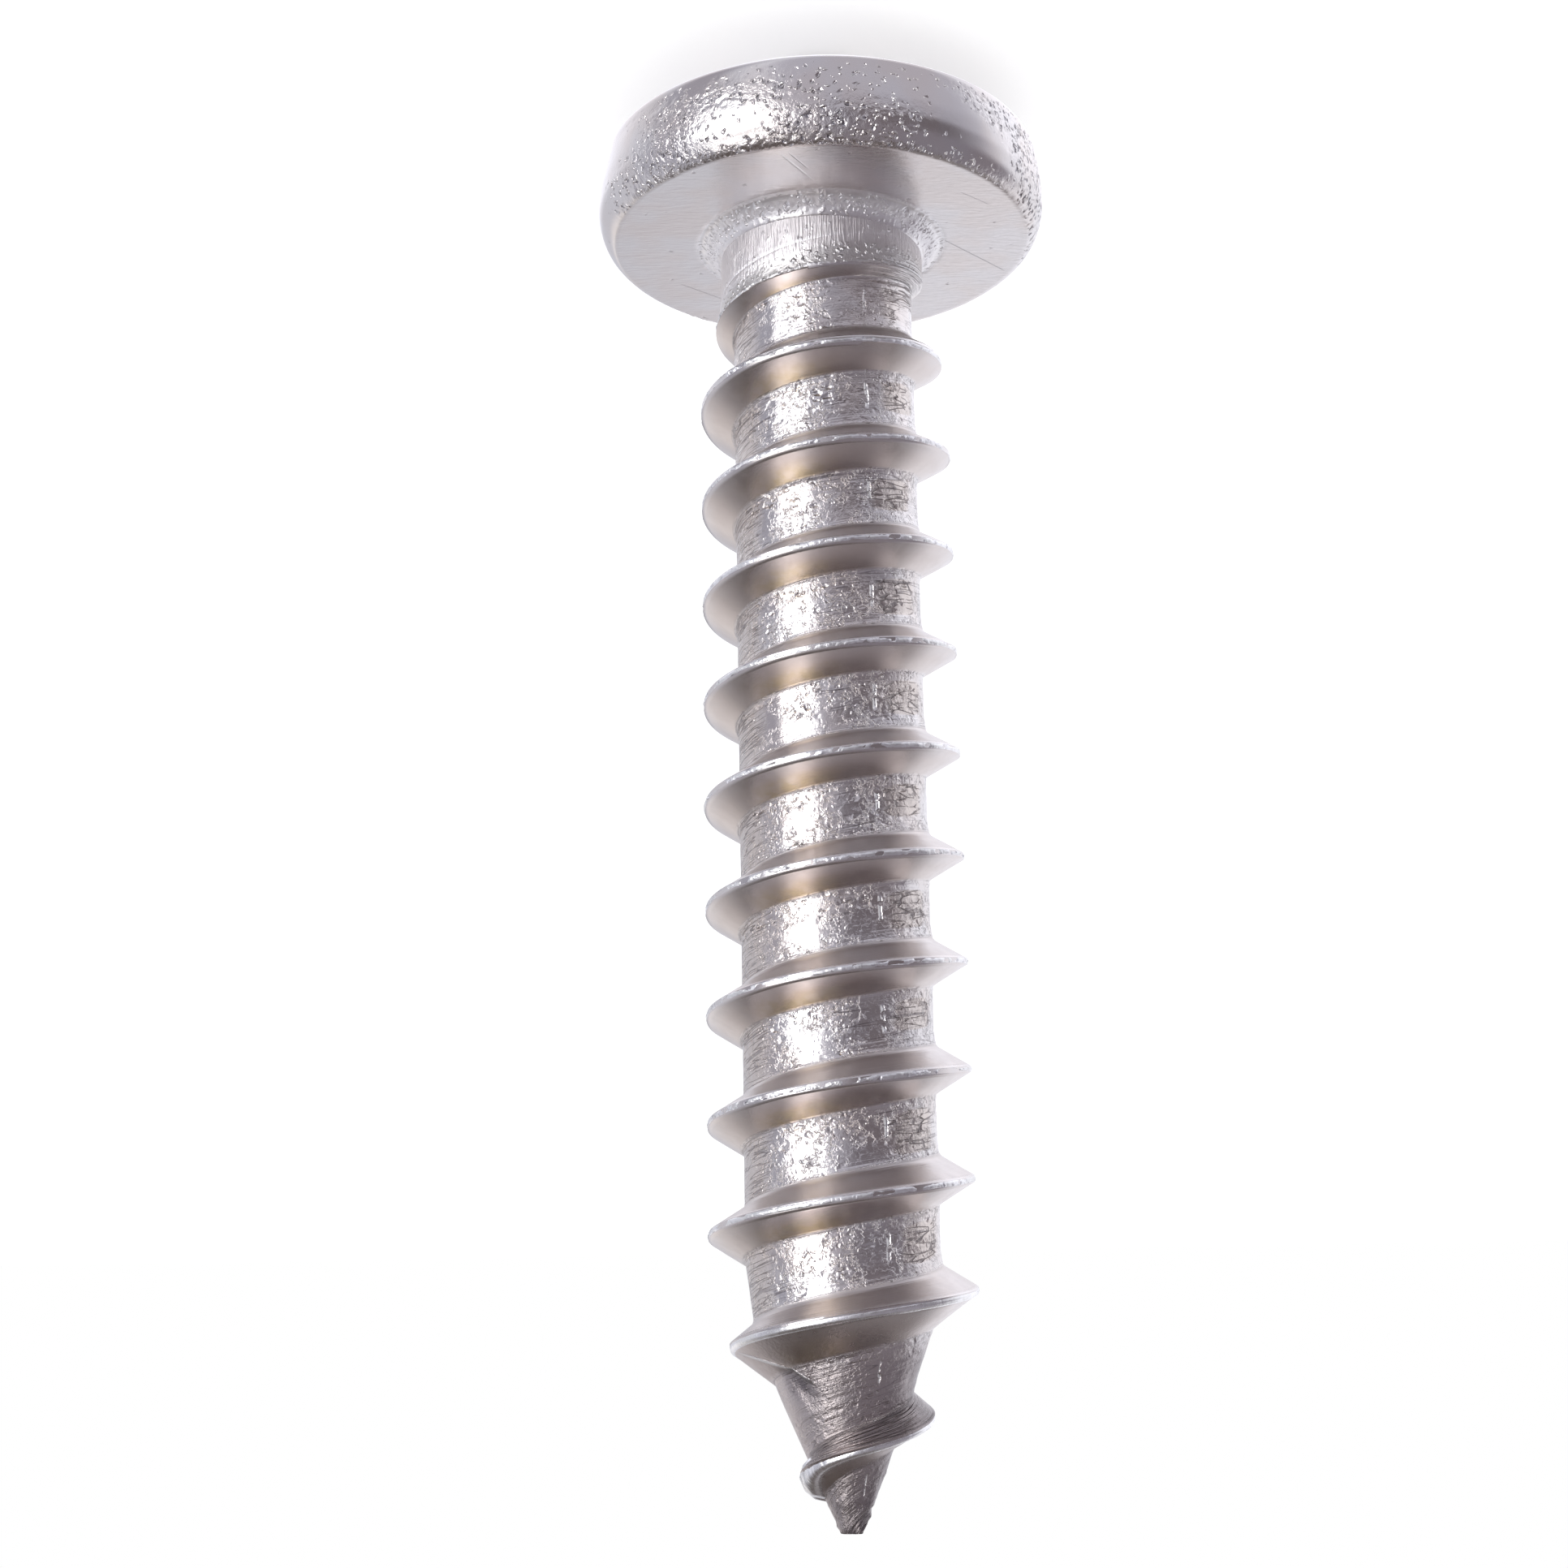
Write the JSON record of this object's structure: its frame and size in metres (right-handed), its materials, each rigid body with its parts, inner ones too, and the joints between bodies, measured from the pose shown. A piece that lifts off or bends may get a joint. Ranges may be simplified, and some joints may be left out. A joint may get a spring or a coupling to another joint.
{
  "type": "sheet metal screw",
  "caption": "Large pan head self-tapping screw with a cross recess, coarse spaced thread and blunt-ended gimlet point, in bright stainless steel.",
  "frame": {"origin": "middle of the flat on the crown of the head, on which the screw stands", "axes": "+Z along the screw's axis from the head to the point, X and Y across it with the recess's wings along them"},
  "size_m": [0.0114, 0.0114, 0.0351],
  "materials": {
    "stainless_steel": "bright, smooth on the underside and flanks, rough where it was forged and rolled"
  },
  "bodies": {
    "root": {"screw": "stainless_steel"}
  },
  "joints": []
}
